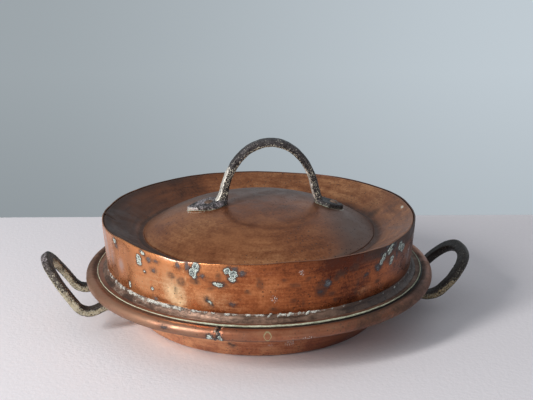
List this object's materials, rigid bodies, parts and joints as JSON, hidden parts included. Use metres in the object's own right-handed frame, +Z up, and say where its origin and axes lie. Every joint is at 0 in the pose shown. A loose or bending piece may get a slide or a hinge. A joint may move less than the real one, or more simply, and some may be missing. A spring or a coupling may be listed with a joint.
{
  "type": "tourtiere pan",
  "caption": "Round shallow copper baking pan with a rolled edge, loop side handles and a deep domed lid whose raised brim holds embers.",
  "frame": {"origin": "centre of the pan's flat base, on the surface that it stands on", "axes": "+Z up out of the lid, +X towards the right side handle, +Y away from the viewer"},
  "size_m": [0.3688, 0.3, 0.1518],
  "materials": {
    "pan_copper": "old copper, brown patina with bare orange patches and verdigris",
    "lid_copper": "old copper, polished wall, dull brown dome and brim, verdigris spots",
    "bronze": "rough cast bronze, nearly black patina, worn brassy sides",
    "rivet_copper": "hammered copper, dark",
    "iron": "plain iron wire",
    "tin": "wiped tin, dull grey",
    "solder": "dull grey solder with pale green verdigris"
  },
  "bodies": {
    "pan": {"pan_body": "pan_copper", "rim_wire": "iron", "pan_tin_lining": "tin", "left_handle": "bronze", "left_handle_rivets": "rivet_copper", "right_handle": "bronze", "right_handle_rivets": "rivet_copper"},
    "lid": {"lid_dome": "lid_copper", "lid_brim": "lid_copper", "lid_wall": "lid_copper", "lid_foot_ring": "lid_copper", "lid_foot_solder": "solder", "lid_tin_lining": "tin", "lid_handle": "bronze", "lid_handle_rivets": "rivet_copper"}
  },
  "joints": [
    {"name": "lid_lift", "type": "slide", "parent": "pan", "child": "lid", "axis": [0, 0, 1], "range_m": [0, 0.15]}
  ]
}
